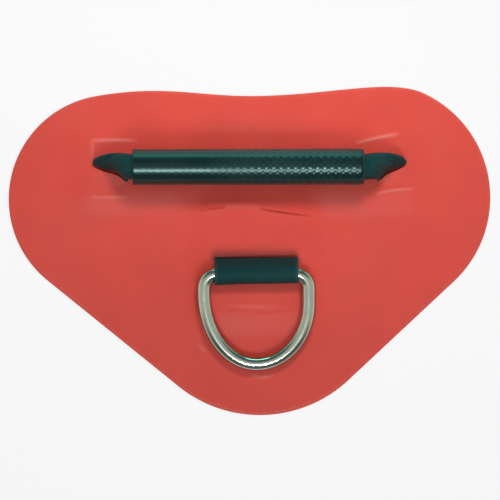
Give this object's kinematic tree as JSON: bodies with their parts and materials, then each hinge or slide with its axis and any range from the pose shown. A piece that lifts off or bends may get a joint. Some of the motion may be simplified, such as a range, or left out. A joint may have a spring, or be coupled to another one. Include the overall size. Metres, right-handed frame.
{
  "type": "carry handle and d-ring patch",
  "caption": "Bonded coated-fabric patch with a sleeved webbing carry handle that swings and a steel D-ring held in a webbing loop.",
  "frame": {"origin": "middle of the patch's outline, on the bonding face", "axes": "+X along the handle, +Y from the D-ring towards the handle, +Z out of the patch"},
  "size_m": [0.279, 0.19, 0.0314],
  "materials": {
    "coated_fabric": "soft satin coating over woven fabric",
    "webbing": "flat woven webbing",
    "rubber": "satin, with a braid pattern pressed into it",
    "steel": "polished stainless steel",
    "thread": "bonded sewing thread"
  },
  "bodies": {
    "patch": {"outer_patch": "coated_fabric", "backing_patch": "coated_fabric", "handle_tail_left": "webbing", "handle_tail_right": "webbing", "ring_tail_upper": "webbing", "ring_tail_lower": "webbing", "seam_handle_left": "thread", "seam_handle_right": "thread", "seam_ring_upper": "thread", "seam_ring_lower": "thread"},
    "handle": {"handle_run": "webbing"},
    "sleeve": {"grip_sleeve": "rubber"},
    "loop": {"ring_loop": "webbing"},
    "ring": {"d_ring": "steel"}
  },
  "joints": [
    {"name": "handle_swing", "type": "hinge", "parent": "patch", "child": "handle", "pos_m": [0, 0.0456, 0.0037], "axis": [1, 0, 0], "range_deg": [-35, 45], "stiffness_Nm_per_rad": 0.03},
    {"name": "sleeve_spin", "type": "hinge", "parent": "handle", "child": "sleeve", "pos_m": [-0.0006, 0.0486, 0.021], "axis": [1, 0, 0], "continuous": true},
    {"name": "loop_swing", "type": "hinge", "parent": "patch", "child": "loop", "pos_m": [0.004, -0.0058, 0.00655], "axis": [-1, 0, 0], "range_deg": [0, 65]},
    {"name": "ring_swing", "type": "hinge", "parent": "loop", "child": "ring", "pos_m": [0.0035, -0.0133, 0.0107], "axis": [-1, 0, 0], "range_deg": [0, 80]}
  ]
}
